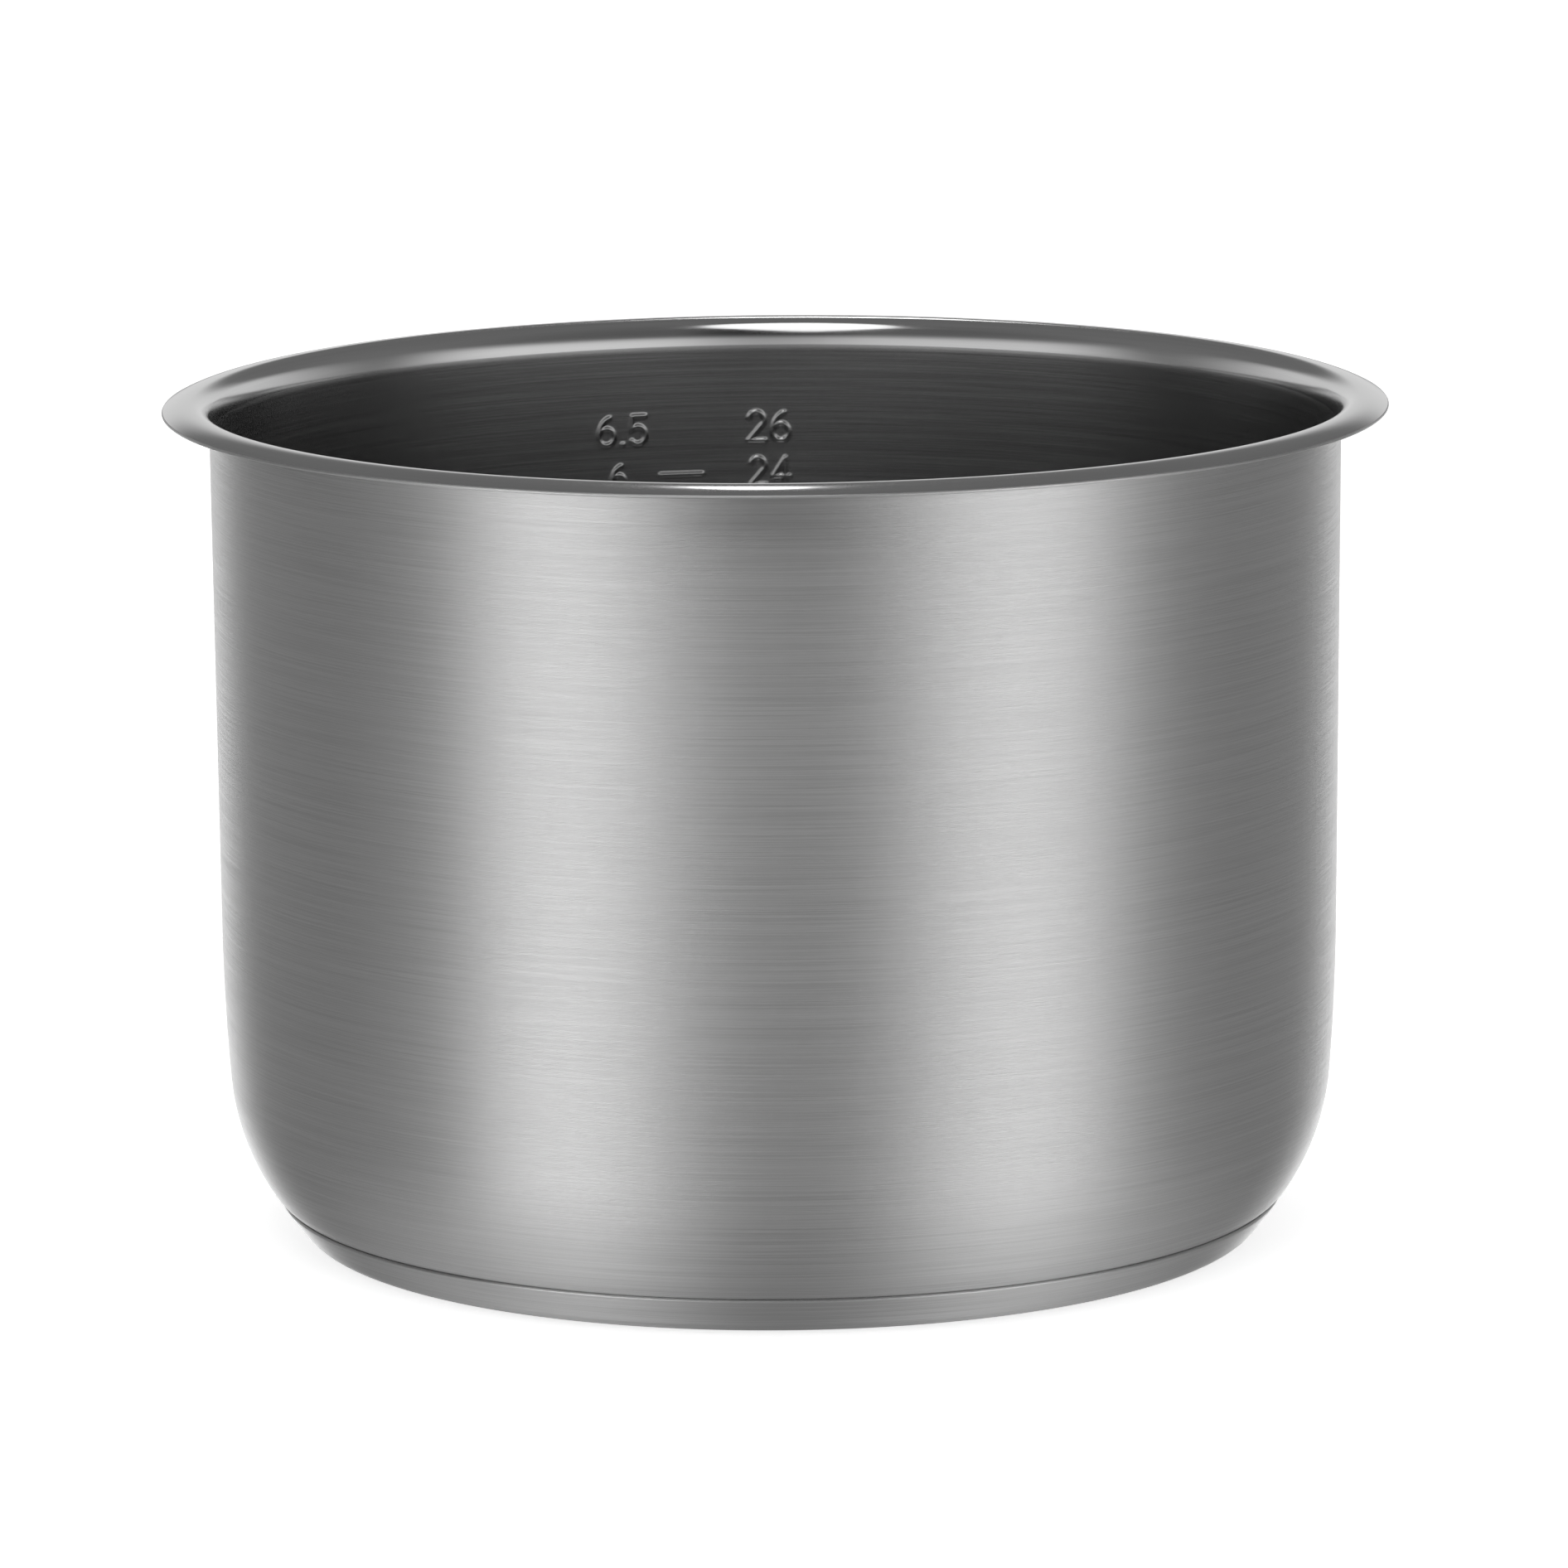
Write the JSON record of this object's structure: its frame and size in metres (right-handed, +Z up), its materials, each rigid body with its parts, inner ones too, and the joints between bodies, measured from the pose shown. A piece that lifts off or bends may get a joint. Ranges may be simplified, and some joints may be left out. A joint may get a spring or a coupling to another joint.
{
  "type": "rice cooker inner pot",
  "caption": "Deep round stainless-steel inner pot of an electric rice cooker, with a flared polished rim, brushed wall, level marks and a thick capped base, for holding food as it cooks",
  "frame": {"origin": "centre of the pot's base, on the plane it stands on", "axes": "+Z up along the pot's axis; -Y towards the camera of the picture, +X to its right"},
  "size_m": [0.26, 0.26, 0.1798],
  "materials": {
    "shell_steel": "brushed round the wall inside and out, polished on the rim",
    "core_aluminium": "as rolled, sealed inside the base",
    "cap_steel": "brushed in circles"
  },
  "bodies": {
    "root": {"pot_body": "shell_steel", "base_core": "core_aluminium", "base_cap": "cap_steel"}
  },
  "joints": []
}
